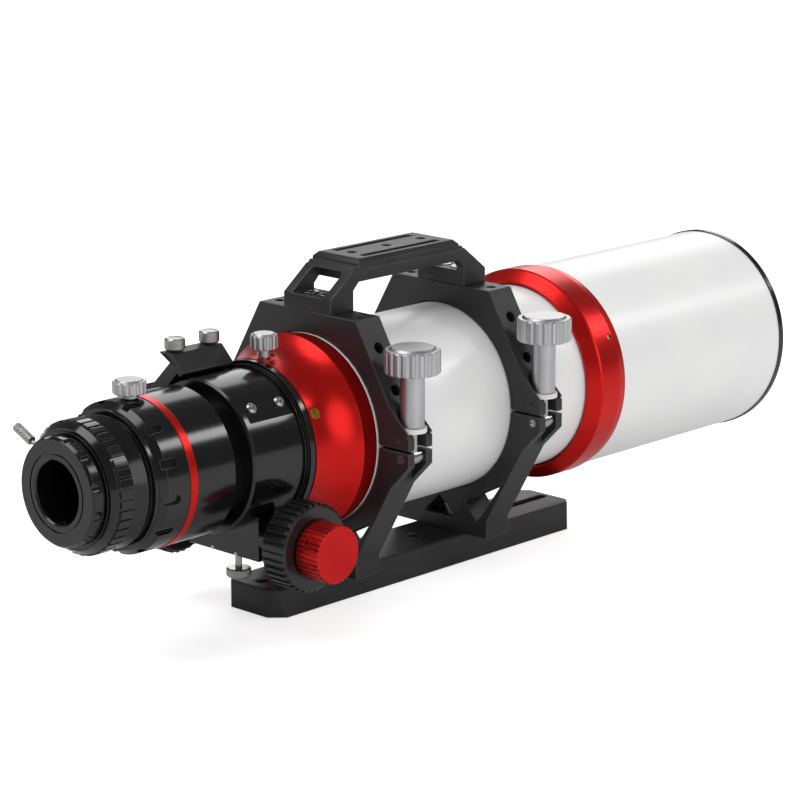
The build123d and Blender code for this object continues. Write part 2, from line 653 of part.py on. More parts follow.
def cone_adapter():
    """Red adapter that flares in a hollow curve from the focuser to the tube."""
    spigot_r = TUBE_R - TUBE_WALL - SEAT
    hollow = ThreePointArc((CONE_REAR_R, CONE_REAR + 3, AXIS_Z), (45.6, CONE_REAR + 14, AXIS_Z),
                           (CONE_STEP_R, CONE_STEP_Y, AXIS_Z))
    corners = [(CONE_STEP_R, CONE_STEP_Y), (TUBE_R, TUBE_REAR - SEAT), (spigot_r, TUBE_REAR - SEAT),
               (spigot_r, TUBE_REAR + 13), (spigot_r - 3, TUBE_REAR + 13), (spigot_r - 3, -84.0),
               (37.4, -95.0), (37.4, SPIGOT_FRONT + 0.5),
               (SPIGOT_R + FIT, SPIGOT_FRONT + 0.5), (SPIGOT_R + FIT, CONE_REAR),
               (CONE_REAR_R, CONE_REAR), (CONE_REAR_R, CONE_REAR + 3)]
    line = Polyline([(r, y, AXIS_Z) for r, y in corners])
    body = revolve(make_face(hollow + line), OPTICAL_AXIS)
    body -= radial_rod(2.5 + FIT, SPIGOT_R - 2, 60, LOCK_Y, 90)
    body -= radial_rod(5.2, CONE_REAR_R + 0.2, 60, LOCK_Y, 90)
    body -= radial_rod(BRASS_R + SEAT, SPIGOT_R - 2, 60, BRASS_Y, BRASS_ANGLE)
    return body


def brass_screw():
    """Slotted brass screw that keeps the focuser's spigot in its groove."""
    s = radial_rod(BRASS_R, SPIGOT_R + 0.5, CONE_REAR_R + 0.5, BRASS_Y, BRASS_ANGLE)
    top = AXIS_Z + CONE_REAR_R
    return s - around(BRASS_ANGLE, block(-4, 4, BRASS_Y - 0.4, BRASS_Y + 0.4, top - 0.4, top + 2))


def lock_knob(stem_r, stem_from, neck_r, neck_from, head_from, head_to, head_r, flutes):
    """Silver lock knob standing on +Z, measured from the optical axis."""
    k = rod_z(stem_r, AXIS_Z + stem_from, AXIS_Z + head_from + 0.5, 0, 0)
    k += rod_z(neck_r, AXIS_Z + neck_from, AXIS_Z + head_from + 0.5, 0, 0)
    k += fluted_head(head_r, AXIS_Z + head_from, AXIS_Z + head_to, flutes, 1.4, 0.7)
    return k


def focuser_lock_knob():
    """Knob that locks the focuser's turning on the cone adapter."""
    knob = lock_knob(2.5, SPIGOT_R + 0.4, 3.4, CONE_REAR_R + 0.6, 48.2, 55.6, 7.2, 14)
    return Pos(0, LOCK_Y, 0) * knob


# ---- focuser body ----------------------------------------------------------------------
def rack_room(y0, y1):
    """Channel for the rack under the drawtube."""
    depth = PINION_Z + PINION_PITCH_R - 1.2
    return block(-RACK_HALF_W - 0.4, RACK_HALF_W + 0.4, y0, y1, depth, AXIS_Z - DRAW_R + 4)


def focuser_body():
    """Turned barrel with the pinion housing below it and a spigot in front."""
    body = turned([(0.0, BODY_REAR), (BODY_R - 1.0, BODY_REAR), (BODY_R, BODY_REAR + 1.0),
                   (BODY_R, BODY_FRONT), (SPIGOT_R, BODY_FRONT), (SPIGOT_R, SPIGOT_FRONT),
                   (0.0, SPIGOT_FRONT)])
    housing = block(-BLOCK_X, BLOCK_X, BLOCK_REAR, BLOCK_FRONT, BLOCK_Z, AXIS_Z - 20)
    body += housing
    body -= rod_y(DRAW_R + FIT, BODY_REAR - 1, SPIGOT_FRONT + 1)
    body -= rack_room(BODY_REAR - 1, SPIGOT_FRONT + 1)
    hw = PINION_HALF_W + 0.5
    tip = PINION_PITCH_R + PINION_MODULE + 0.5
    body -= block(-hw, hw, PINION_Y - tip, PINION_Y + tip, BLOCK_Z - 1, AXIS_Z - DRAW_R + 4)
    body -= rod_x(SHAFT_R + 0.6, -BLOCK_X - 1, BLOCK_X + 1, PINION_Y, PINION_Z)
    for side in (1, -1):
        x0, x1 = sorted((side * 12.0, side * (BLOCK_X + 1)))
        body -= rod_x(BUSH_R + SEAT, x0, x1, PINION_Y, PINION_Z)
        x0, x1 = sorted((side * BLOCK_X, side * (BLOCK_X + 15)))
        body -= rod_x(BUSH_FLANGE_R + FIT, x0, x1, PINION_Y, PINION_Z)
    for x, y in CAP_SCREWS:
        body -= rod_z(1.5 + SEAT, BLOCK_Z - 1, BLOCK_Z + 7.0, x, y)
    for angle, y0 in ((BUTTON_ANGLE, BODY_REAR + 4.0), (SHOE_ANGLE, BODY_REAR - 1.0)):
        body -= around(angle, block(-14, 14, y0, BODY_FRONT, AXIS_Z + FLAT_R, AXIS_Z + BODY_R + 2))
        for y in BUTTON_Y:
            body -= radial_rod(1.5 + SEAT, BODY_R - 5.5, BODY_R + 5, y, angle)
    return body


def pinion_cap():
    """Plate screwed under the pinion housing."""
    cap = block(-BLOCK_X, BLOCK_X, BLOCK_REAR, BLOCK_FRONT, CAP_Z, BLOCK_Z - SEAT)
    cap = chamfer(cap.edges().group_by(Axis.Z)[0], 0.5)
    cap -= rod_z(TENSION_R + FIT, CAP_Z - 1, BLOCK_Z + 1, 0, TENSION_Y)
    for x, y in CAP_SCREWS:
        cap -= rod_z(1.7, CAP_Z - 1, BLOCK_Z + 1, x, y)
        cap -= rod_z(2.9, CAP_Z - 1, CAP_Z + 1.9, x, y)
    return cap


def cap_screws():
    """Small cap screws that hold the plate."""
    out = []
    for x, y in CAP_SCREWS:
        s = rod_z(2.7, CAP_Z + 0.1, CAP_Z + 1.9 - SEAT, x, y) + rod_z(1.5, CAP_Z + 1, BLOCK_Z + 6, x, y)
        out.append(s - Pos(x, y, CAP_Z - 1) * extrude(RegularPolygon(1.4, 6), 2.0))
    return out


def body_flange():
    """Stepped black ring between the barrel and the cone adapter."""
    return turned([(SPIGOT_R + SEAT, BODY_FRONT + SEAT), (BODY_R + 1.2, BODY_FRONT + SEAT),
                   (BODY_R + 1.2, BODY_FRONT + 1.9), (FLANGE_R, BODY_FRONT + 1.9),
                   (FLANGE_R, CONE_REAR - 0.8), (FLANGE_R - 0.5, CONE_REAR - 0.3),
                   (SPIGOT_R + SEAT, CONE_REAR - 0.3)])


def button_screws():
    """Button-head screws that fill the spare shoe seat."""
    out = []
    for y in BUTTON_Y:
        seat = AXIS_Z + FLAT_R + SEAT
        stem = rod_z(1.5, AXIS_Z + BODY_R - 5, seat + 0.5, 0, y)
        head = rod_z(3.0, seat, seat + 1.8, 0, y)
        head = chamfer(head.edges().group_by(Axis.Z)[-1], 0.9)
        socket = Pos(0, y, seat + 0.8) * extrude(RegularPolygon(1.15, 6), 2)
        out.append(around(BUTTON_ANGLE, stem + head - socket))
    return out


def shoe_rod(r, start, end, y):
    """Cylinder square to the slanted top of the shoe's near wall."""
    across = SHOE_HALF + SHOE_WALL_T - 3.0
    up = AXIS_Z + SHOE_FLOOR + 5.35
    rod = Pos(0, 0, start) * Cylinder(r, end - start, align=CENTRED)
    return Pos(across, y, up) * Rot(0, 45, 0) * rod


def finder_shoe():
    """Dovetail shoe for a finder, with a skirt down the barrel's near side."""
    y0, y1 = SHOE_Y
    under = AXIS_Z + FLAT_R + SEAT
    floor = AXIS_Z + SHOE_FLOOR
    out = SHOE_HALF + SHOE_WALL_T
    inner = out - SHOE_SKIRT_T
    skirt = under - 2.7
    near = [(SHOE_HALF, floor - 0.1), (SHOE_HALF - 2.4, floor + 8.2), (SHOE_HALF - 1.9, floor + 8.5),
            (out, floor + 2.2), (out, skirt), (inner, skirt), (inner, under), (SHOE_HALF, under)]
    far = [(-SHOE_HALF, floor - 0.1), (-SHOE_HALF + 2.4, floor + 8.2), (-SHOE_HALF + 1.9, floor + 8.5),
           (-out, floor + 2.2), (-out, under), (-SHOE_HALF, under)]
    shoe = block(-SHOE_HALF, SHOE_HALF, y0, y1, under, floor)
    shoe += plate_y(near, y0, y1)
    shoe += plate_y(far, y0, y1)
    for y in SHOE_SCREW_Y:
        shoe -= shoe_rod(SHOE_SCREW_R + FIT, -4.5, 4.0, y)
    for y in BUTTON_Y:
        shoe -= rod_z(1.7, under - 1, floor + 1, 0, y)
        shoe -= rod_z(3.3, floor - 1.8, floor + 1, 0, y)
    return around(SHOE_ANGLE, shoe)


def shoe_screws():
    """Cap screws that hold the shoe on the barrel."""
    out = []
    floor = AXIS_Z + SHOE_FLOOR
    for y in BUTTON_Y:
        s = rod_z(3.0, floor - 1.8 + SEAT, floor - 0.2, 0, y)
        s += rod_z(1.5, AXIS_Z + BODY_R - 5, floor - 1.7, 0, y)
        s -= Pos(0, y, floor - 1.0) * extrude(RegularPolygon(1.3, 6), 3)
        out.append(around(SHOE_ANGLE, s))
    return out


def shoe_thumbscrew(y):
    """Knurled thumbscrew that reaches down through the near wall into the slot."""
    head = chamfer(rod_z(SHOE_HEAD_R, 0.8, 6.8, 0, 0).edges().filter_by(GeomType.CIRCLE), 0.5)
    for i in range(28):
        a = 2 * pi * i / 28
        head -= rod_z(0.42, 0, 8, (SHOE_HEAD_R + 0.1) * cos(a), (SHOE_HEAD_R + 0.1) * sin(a))
    screw = head + rod_z(SHOE_SCREW_R, -3.6, 1.5, 0, 0)
    across = SHOE_HALF + SHOE_WALL_T - 3.0
    up = AXIS_Z + SHOE_FLOOR + 5.35
    return around(SHOE_ANGLE, Pos(across, y, up) * Rot(0, 45, 0) * screw)


def tension_screw():
    """Knurled screw under the housing that sets the drawtube's drag."""
    z0, z1 = CAP_Z - 14.8, CAP_Z - 10.1
    head = rod_z(TENSION_HEAD_R, z0, z1, 0, 0)
    head = chamfer(head.edges().filter_by(GeomType.CIRCLE), 0.5)
    for i in range(32):
        a = 2 * pi * i / 32
        head -= rod_z(0.42, z0 - 1, z1 + 1, (TENSION_HEAD_R + 0.1) * cos(a), (TENSION_HEAD_R + 0.1) * sin(a))
    s = head + rod_z(TENSION_R, z1 - 0.5, BLOCK_Z - 0.3, 0, 0)
    return Pos(0, TENSION_Y, 0) * s


# ---- pinion, knobs and drawtube ---------------------------------------------------------

def involute(base, r):
    """Polar angle of the involute of a base circle where it crosses radius r."""
    t = acos(min(1.0, base / r))
    return tan(t) - t


def pinion_shaft():
    """Cross shaft with the pinion cut in its middle."""
    base = PINION_PITCH_R * cos(PRESSURE)
    tip = PINION_PITCH_R + TOOTH_UP
    root = PINION_PITCH_R - TOOTH_DOWN
    half = pi / (2 * PINION_TEETH) - BACKLASH / 2 / PINION_PITCH_R + involute(base, PINION_PITCH_R)
    radii = [root, base, base + 0.25, PINION_PITCH_R, PINION_PITCH_R + 0.35, tip]
    points = []
    for n in range(PINION_TEETH):
        mid = pi / 2 + 2 * pi * n / PINION_TEETH
        left = [(r, mid + half - involute(base, r)) for r in radii]
        right = [(r, mid - half + involute(base, r)) for r in reversed(radii)]
        points += [(r * cos(a), r * sin(a)) for r, a in right[::-1] + left[::-1]]
    outline = [(-PINION_HALF_W, PINION_Y + u, PINION_Z + w) for u, w in points]
    gear = extrude(make_face(Polyline(outline, close=True)), amount=2 * PINION_HALF_W, dir=(1, 0, 0))
    reach = COARSE_OUT_X - 8.0
    return gear + rod_x(SHAFT_R, -reach, reach, PINION_Y, PINION_Z)


def gear_rack():
    """Straight rack screwed under the drawtube; a gap faces the pinion's top tooth."""
    pitch_z = PINION_Z + PINION_PITCH_R
    step = pi * PINION_MODULE
    y0, y1 = RACK_Y
    top = AXIS_Z - DRAW_R + 1.6
    body = block(-RACK_HALF_W, RACK_HALF_W, y0, y1, pitch_z - TOOTH_UP, top)
    gap_half = step / 4 + BACKLASH / 2
    deep = TOOTH_DOWN
    s = tan(PRESSURE)
    first = int((y0 - PINION_Y) // step) - 1
    last = int((y1 - PINION_Y) // step) + 1
    cuts = None
    for n in range(first, last + 1):
        c = PINION_Y + n * step
        low = gap_half + (TOOTH_UP + 0.3) * s
        high = gap_half - deep * s
        tool = plate_x([(c - low, pitch_z - TOOTH_UP - 0.3), (c + low, pitch_z - TOOTH_UP - 0.3),
                        (c + high, pitch_z + deep), (c - high, pitch_z + deep)],
                       -RACK_HALF_W - 1, RACK_HALF_W + 1)
        cuts = tool if cuts is None else cuts + tool
    return body - cuts


def drawtube():
    """Sliding tube with a flat-bottomed channel for the rack."""
    tube = sleeve(DRAW_R, DRAW_R - DRAW_WALL, DRAW_REAR, DRAW_FRONT)
    top = AXIS_Z - DRAW_R + 1.6 + SEAT
    w = RACK_HALF_W + SEAT
    y0, y1 = RACK_Y
    return tube - block(-w, w, y0 - SEAT, y1 + SEAT, AXIS_Z - DRAW_R - 2, top)


def pinion_bush(side):
    """Flanged bush that carries one end of the pinion shaft."""
    b = rod_x(BUSH_R, 12.0 + SEAT, BLOCK_X + 0.5, PINION_Y, PINION_Z)
    b += rod_x(BUSH_FLANGE_R, BLOCK_X + SEAT, 36.0, PINION_Y, PINION_Z)
    b -= rod_x(SHAFT_R + FIT, 10, 40, PINION_Y, PINION_Z)
    return b if side > 0 else mirror(b, Plane.YZ)


def ribbed_knob(r, x0, x1, ribs, depth, edge):
    """Knob along X with straight ribs and chamfered ends."""
    k = rod_x(r, x0, x1, 0, 0)
    k = chamfer(k.edges().filter_by(GeomType.CIRCLE), edge)
    cuts = []
    for i in range(ribs):
        a = 2 * pi * i / ribs
        gap = pi * r / ribs * 0.55
        tool = block(x0 - 1, x1 + 1, -gap, gap, r - depth, r + 2)
        cuts.append(Rot(degrees(a), 0, 0) * tool)
    return k - cuts


def coarse_knob(side):
    """Ribbed focusing knob fixed on the pinion shaft."""
    k = ribbed_knob(COARSE_R, COARSE_IN_X, COARSE_OUT_X, COARSE_RIBS, 1.2, 1.9)
    k -= rod_x(SHAFT_R + SEAT, COARSE_IN_X - 1, COARSE_OUT_X - 7.9, 0, 0)
    if side > 0:
        k -= rod_x(2.5 + FIT, COARSE_OUT_X - 9, COARSE_OUT_X + 1, 0, 0)
        k -= rod_x(15.6, COARSE_OUT_X - 1.0, COARSE_OUT_X + 1, 0, 0)
    else:
        k = mirror(k, Plane.YZ)
    return Pos(0, PINION_Y, PINION_Z) * k


def fine_knob():
    """Red slow-motion knob in front of the right coarse knob."""
    k = ribbed_knob(FINE_R, FINE_IN_X, FINE_OUT_X, FINE_RIBS, 0.8, 0.7)
    k += rod_x(2.5, COARSE_OUT_X - 7.4, FINE_IN_X + 1, 0, 0)
    k += rod_x(12.5, COARSE_OUT_X - 0.8, FINE_IN_X + 1, 0, 0)
    k -= rod_z(1.5, 11.5, 20, FINE_IN_X + 5.5, 0)
    return Pos(0, PINION_Y, PINION_Z) * Rot(60, 0, 0) * k


# ---- rotator and eyepiece end --------------------------------------------------------------
def rotator_housing():
    """Black housing fixed on the drawtube, with the sleeve the rotator turns on."""
    return turned([(DRAW_R + SEAT, HOUSING_FRONT), (HOUSING_R - 2.0, HOUSING_FRONT),
                   (HOUSING_R, HOUSING_FRONT - 2.0), (HOUSING_R, ACCENT_Y[1] + SEAT),
                   (SLEEVE_R, ACCENT_Y[1] + SEAT), (SLEEVE_R, SLEEVE_REAR),
                   (SLEEVE_BORE_R, SLEEVE_REAR), (SLEEVE_BORE_R, DRAW_REAR - SEAT),
                   (DRAW_R + SEAT, DRAW_REAR - SEAT)])


def accent_ring():
    """Red ring between the housing and the rotator."""
    return sleeve(ACCENT_R, SLEEVE_R + SEAT, ACCENT_Y[0], ACCENT_Y[1])


def rotator_ring():
    """Black ring with open-ended finger slots that turns on the sleeve."""
    y0, y1 = ROTATOR_Y
    ring = turned([(HOLDER_SPIGOT_R + SEAT, y0), (ROTATOR_R - 3.0, y0), (ROTATOR_R, y0 + 3.4),
                   (ROTATOR_R, y1), (SLEEVE_R + FIT, y1), (SLEEVE_R + FIT, SLEEVE_REAR - 0.3),
                   (HOLDER_SPIGOT_R + SEAT, SLEEVE_REAR - 0.3)])
    for i in range(ROTATOR_FLUTES):
        a = 90 + 360 * (i + 0.5) / ROTATOR_FLUTES
        slot = block(-2.3, 2.3, y0 - 1, y0 + 9.0, AXIS_Z + ROTATOR_R - 1.6, AXIS_Z + ROTATOR_R + 2)
        slot += rod_z(2.3, AXIS_Z + ROTATOR_R - 1.6, AXIS_Z + ROTATOR_R + 2, 0, y0 + 9.0)
        ring -= around(a, slot)
    ring -= radial_rod(2.2 + FIT, SLEEVE_R - 1, ROTATOR_R + 5, ROTATOR_LOCK_Y, 90)
    return ring


def rotator_lock_knob():
    """Knob that locks the rotator on its sleeve."""
    knob = lock_knob(2.2, SLEEVE_R + 0.4, 4.6, ROTATOR_R + 0.4, 41.2, 47.6, 8.5, 16)
    return Pos(0, ROTATOR_LOCK_Y, 0) * knob


def eyepiece_holder():
    """Two-inch holder: bright cone, dark groove and a threaded neck."""
    y1 = ROTATOR_Y[0] - SEAT
    return turned([(TWO_INCH_R, NECK_REAR), (NECK_R, NECK_REAR), (NECK_R, HOLDER_CONE_REAR),
                   (HOLDER_CONE_R, HOLDER_CONE_REAR), (HOLDER_R - 1.8, y1 - 5.2),
                   (HOLDER_R - 3.0, y1 - 4.4), (HOLDER_R - 3.0, y1 - 2.2), (HOLDER_R, y1 - 2.2),
                   (HOLDER_R, y1), (HOLDER_SPIGOT_R, y1), (HOLDER_SPIGOT_R, -203.5),
                   (TWO_INCH_R, -203.5)])


def clamp_ring():
    """Twist ring with rectangular grip pads that closes the two-inch holder."""
    y0, y1 = CLAMP_RING_Y
    bore = NECK_R + FIT
    ring = turned([(bore, y0), (CLAMP_RING_R - 3.4, y0), (CLAMP_RING_R - 1.0, y0 + 3.0),
                   (CLAMP_RING_R - 1.0, y0 + 4.0), (CLAMP_RING_R, y0 + 4.0), (CLAMP_RING_R, y1 - 0.6),
                   (CLAMP_RING_R - 0.6, y1), (bore, y1)])
    cuts = []
    for i in range(CLAMP_PADS):
        slot = block(-0.75, 0.75, y0 + 3.0, y1 + 1, AXIS_Z + CLAMP_RING_R - 1.0, AXIS_Z + CLAMP_RING_R + 2)
        cuts.append(around(360 * i / CLAMP_PADS, slot))
    return ring - cuts - radial_rod(THUMB_R + FIT, NECK_R - 1, CLAMP_RING_R + 3, THUMB_Y, THUMB_ANGLE)


def eyepiece_adapter():
    """Reducer from two inches to one and a quarter, with a scalloped flange."""
    y0, y1 = ADAPTER_FACE, ADAPTER_FLANGE_FRONT
    body = turned([(EYEPIECE_R, y0 + 0.8), (EYEPIECE_R + 0.8, y0), (19.0, y0), (19.0, y0 + 0.9),
                   (20.2, y0 + 0.9), (20.2, y0), (ADAPTER_R - 1.2, y0), (ADAPTER_R, y0 + 1.4),
                   (ADAPTER_R, y1), (ADAPTER_BARREL_R, y1), (ADAPTER_BARREL_R, ADAPTER_BARREL_FRONT),
                   (EYEPIECE_R + 5.0, ADAPTER_BARREL_FRONT), (EYEPIECE_R + 5.0, y1 + 14.0),
                   (EYEPIECE_R, y1 + 14.0)])
    cuts = []
    for i in range(ADAPTER_FLUTES):
        a = SCALLOP_ANGLE + 360 * (i + 0.5) / ADAPTER_FLUTES
        scoop = rod_y(4.2, y0 - 1, y1 - 1.2, 0, AXIS_Z + ADAPTER_R + 3.2)
        cuts.append(around(a, scoop))
    body -= cuts
    for a in SET_SCREW_ANGLES:
        body -= radial_rod(1.52, EYEPIECE_R - 2, ADAPTER_R + 3, SET_SCREW_Y, a)
    return body


def ring_thumbscrew():
    """Long knurled thumbscrew that stops the twist ring on the holder's neck."""
    low, high = THUMB_HEAD
    head = chamfer(rod_z(THUMB_HEAD_R, low, high, 0, 0).edges().filter_by(GeomType.CIRCLE), 0.4)
    for i in range(16):
        a = 2 * pi * i / 16
        head -= rod_z(0.25, low - 1, high + 1, (THUMB_HEAD_R + 0.05) * cos(a), (THUMB_HEAD_R + 0.05) * sin(a))
    s = head + rod_z(THUMB_R, NECK_R + 0.3, low + 0.5, 0, 0)
    return around(THUMB_ANGLE, Pos(0, THUMB_Y, AXIS_Z) * s)


def adapter_set_screws():
    """Small set screws that hold the brass clamping band."""
    return [radial_rod(1.5, EYEPIECE_R + 1.2, ADAPTER_R - 1.0, SET_SCREW_Y, a) for a in SET_SCREW_ANGLES]


# ---- write every node ------------------------------------------------------------------------
REAR, FRONT = RING_Y
save(dovetail_bar(), "dovetail_bar")
save(foot_screws(), "foot_screws")
save(ring_base(REAR), "ring_base_rear")
save(ring_base(FRONT), "ring_base_front")
save(ring_top(REAR), "ring_top_rear")
save(ring_top(FRONT), "ring_top_front")
save(felts(False), "base_felts")
save(felts(True), "top_felts")
save(hinge_pins(), "hinge_pins")
save(fork_pins(), "fork_pins")
save(swing_bolt(REAR), "swing_bolt_rear")
save(swing_bolt(FRONT), "swing_bolt_front")
save(clamp_washer(REAR), "clamp_washer_rear")
save(clamp_washer(FRONT), "clamp_washer_front")
save(clamp_knob(REAR), "clamp_knob_rear")
save(clamp_knob(FRONT), "clamp_knob_front")
save(handle(), "handle_rail")
save(handle_screws(), "handle_screws")
save(main_tube(), "main_tube")
save(tube_baffles(), "tube_baffles")
save(objective_cell(), "objective_cell")
save(rear_lens(), "rear_lens")
save(lens_spacer(), "lens_spacer")
save(front_lens(), "front_lens")
save(lens_retainer(), "lens_retainer")
save(dew_shield(), "dew_shield")
save(shield_collar(), "shield_collar")
save(collar_felt(), "collar_felt")
save(collar_screws(), "collar_screws")
save(shield_rim(), "shield_rim")
save(cone_adapter(), "cone_adapter")
save(brass_screw(), "brass_screw")
save(focuser_lock_knob(), "focuser_lock_knob")
save(focuser_body(), "focuser_body")
save(pinion_cap(), "pinion_cap")
save(cap_screws(), "cap_screws")
save(body_flange(), "body_flange")
save(button_screws(), "button_screws")
save(finder_shoe(), "finder_shoe")
save(shoe_screws(), "shoe_screws")
save(shoe_thumbscrew(SHOE_SCREW_Y[0]), "shoe_thumbscrew_rear")
save(shoe_thumbscrew(SHOE_SCREW_Y[1]), "shoe_thumbscrew_front")
save(tension_screw(), "tension_screw")
save(pinion_shaft(), "pinion_shaft")
save(gear_rack(), "gear_rack")
save(drawtube(), "drawtube")
save([pinion_bush(1), pinion_bush(-1)], "pinion_bushes")
save(coarse_knob(1), "coarse_knob_right")
save(coarse_knob(-1), "coarse_knob_left")
save(fine_knob(), "fine_knob")
save(rotator_housing(), "rotator_housing")
save(accent_ring(), "accent_ring")
save(rotator_ring(), "rotator_ring")
save(rotator_lock_knob(), "rotator_lock_knob")
save(eyepiece_holder(), "eyepiece_holder")
save(clamp_ring(), "clamp_ring")
save(eyepiece_adapter(), "eyepiece_adapter")
save(ring_thumbscrew(), "ring_thumbscrew")
save(adapter_set_screws(), "adapter_set_screws")
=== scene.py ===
# %% [markdown]
# # A small refracting telescope
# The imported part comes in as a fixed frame, in metres, with the tube along +Y.
# Everything below either gives one of its pieces a finish, or puts a finer
# piece in its place.

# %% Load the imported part
import json
from math import cos, pi, radians, sin

import bmesh
import bpy
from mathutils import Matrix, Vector


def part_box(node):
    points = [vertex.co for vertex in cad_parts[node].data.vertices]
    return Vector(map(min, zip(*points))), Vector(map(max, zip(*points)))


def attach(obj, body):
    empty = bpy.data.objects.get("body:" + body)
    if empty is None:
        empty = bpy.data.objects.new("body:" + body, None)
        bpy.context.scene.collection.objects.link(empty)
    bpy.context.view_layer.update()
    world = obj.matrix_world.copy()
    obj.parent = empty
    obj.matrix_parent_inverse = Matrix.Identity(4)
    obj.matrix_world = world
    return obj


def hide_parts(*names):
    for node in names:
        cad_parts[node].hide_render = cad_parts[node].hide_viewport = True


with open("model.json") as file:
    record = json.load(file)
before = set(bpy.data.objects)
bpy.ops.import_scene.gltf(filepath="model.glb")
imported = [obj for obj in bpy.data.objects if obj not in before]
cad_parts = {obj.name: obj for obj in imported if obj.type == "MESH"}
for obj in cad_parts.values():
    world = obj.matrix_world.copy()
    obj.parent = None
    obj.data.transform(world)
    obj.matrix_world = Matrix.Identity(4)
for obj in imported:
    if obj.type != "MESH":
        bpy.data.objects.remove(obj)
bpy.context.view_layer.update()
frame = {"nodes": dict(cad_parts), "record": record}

nodes = frame["nodes"]

# %% [markdown]
# ## Colours and nodes
# Finishes are written as the hex codes that a colour card gives. Shaders work in
# linear light, so one function turns the codes over. A second small function adds
# a shader node with its settings and its links, which keeps each recipe short.


# %% Colour and node helpers
def linear(code):
    """Linear red, green, blue and alpha from an sRGB hex code."""
    parts = [int(code[i:i + 2], 16) / 255 for i in (1, 3, 5)]
    return [p / 12.92 if p <= 0.04045 else ((p + 0.055) / 1.055) ** 2.4 for p in parts] + [1.0]


def add(tree, kind, links=(), values=(), **settings):
    """One shader node: links are (input, source socket), values are (input, number)."""
    node = tree.nodes.new(kind)
    for key, value in settings.items():
        setattr(node, key, value)
    for key, value in values:
        node.inputs[key].default_value = value
    for key, source in links:
        tree.links.new(source, node.inputs[key])
    return node


def start(name):
    """A material with its principled shader and the place on the object."""
    material = bpy.data.materials.new(name)
    material.use_nodes = True
    tree = material.node_tree
    shader = tree.nodes["Principled BSDF"]
    place = tree.nodes.new("ShaderNodeTexCoord").outputs["Object"]
    return material, tree, shader, place


def ramp(tree, source, low, high, dark, light):
    """A colour that goes from dark to light as source goes from low to high."""
    node = add(tree, "ShaderNodeValToRGB", links=[("Fac", source)])
    node.color_ramp.elements[0].position = low
    node.color_ramp.elements[0].color = linear(dark)
    node.color_ramp.elements[1].position = high
    node.color_ramp.elements[1].color = linear(light)
    return node.outputs["Color"]


def spread(tree, source, low, high):
    """Stretches a 0 to 1 pattern to run from low to high."""
    node = add(tree, "ShaderNodeMapRange", links=[("Value", source)],
               values=[("To Min", low), ("To Max", high)])
    return node.outputs["Result"]


def painted_edge_highlight(tree, place, radius, softness=0.22):
    """1 along edges, where a painted highlight goes, and 0 on open faces: where a rounded normal leaves the
    flat one.
    """
    rounded = add(tree, "ShaderNodeBevel", values=[("Radius", radius)], samples=4).outputs["Normal"]
    flat = add(tree, "ShaderNodeNewGeometry").outputs["Normal"]
    same = add(tree, "ShaderNodeVectorMath", links=[(0, rounded), (1, flat)], operation="DOT_PRODUCT")
    turn = add(tree, "ShaderNodeMapRange", links=[("Value", same.outputs["Value"])],
               values=[("From Min", 1.0 - softness), ("From Max", 0.995), ("To Min", 1.0), ("To Max", 0.0)])
    # Noise breaks the painted edge highlight into patches.
    edge_highlight_paint = add(tree, "ShaderNodeTexNoise", links=[("Vector", place)],
              values=[("Scale", 180.0), ("Detail", 3.0)])
    patchy = spread(tree, edge_highlight_paint.outputs["Fac"], 0.35, 1.15)
    edge_highlight_mask = add(tree, "ShaderNodeMath", links=[(0, turn.outputs["Result"]), (1, patchy)],
               operation="MULTIPLY", use_clamp=True)
    return edge_highlight_mask.outputs["Value"], rounded


# %% [markdown]
# ## Bead-blasted black anodising
# The rings, the handle and the bar are milled from plate, blasted with fine glass
# beads and dyed black. The beads leave dimples about a tenth of a millimetre across,
# which scatter light, so the metal looks dark grey and never mirrors. They are drawn
# four times as coarse, because real ones would not show. Edges carry a painted highlight.


# %% Blasted black
def blasted_black(name, dark, light, edge_highlight_paint):
    material, tree, shader, place = start(name)
    grain = add(tree, "ShaderNodeTexNoise", links=[("Vector", place)],
                values=[("Scale", 1 / 0.0004), ("Detail", 2.0)]).outputs["Fac"]
    cloud = add(tree, "ShaderNodeTexNoise", links=[("Vector", place)],
                values=[("Scale", 1 / 0.030), ("Detail", 3.0)]).outputs["Fac"]
    edge_highlight_mask, rounded = painted_edge_highlight(tree, place, 0.0007)
    body = ramp(tree, cloud, 0.35, 0.7, dark, light)
    # Along the edges the colour turns lighter: a painted highlight.
    mix = add(tree, "ShaderNodeMix", links=[("Factor", edge_highlight_mask), (6, body)], data_type="RGBA")
    mix.inputs[7].default_value = linear(edge_highlight_paint)
    tree.links.new(mix.outputs[2], shader.inputs["Base Color"])
    tree.links.new(spread(tree, grain, 0.38, 0.52), shader.inputs["Roughness"])
    bump = add(tree, "ShaderNodeBump", links=[("Height", grain), ("Normal", rounded)],
               values=[("Strength", 0.20), ("Distance", 0.00012)])
    tree.links.new(bump.outputs["Normal"], shader.inputs["Normal"])
    shader.inputs["Metallic"].default_value = 0.35
    return material


blasted = blasted_black("bead_blasted_black_anodised_aluminium", "#28282a", "#303032", "#8c8c8e")
print("blasted black:", blasted.name)

# %% [markdown]
# ## Turned aluminium
# The focuser, its red rings and the bright knobs come off a lathe. The tool leaves
# fine rings about the axis that it turned on, a few to the millimetre, and they
# stretch each highlight across the part. Glossy anodising keeps them nearly hidden;
# satin anodising shows them. One recipe takes the colours, the gloss and the axis.


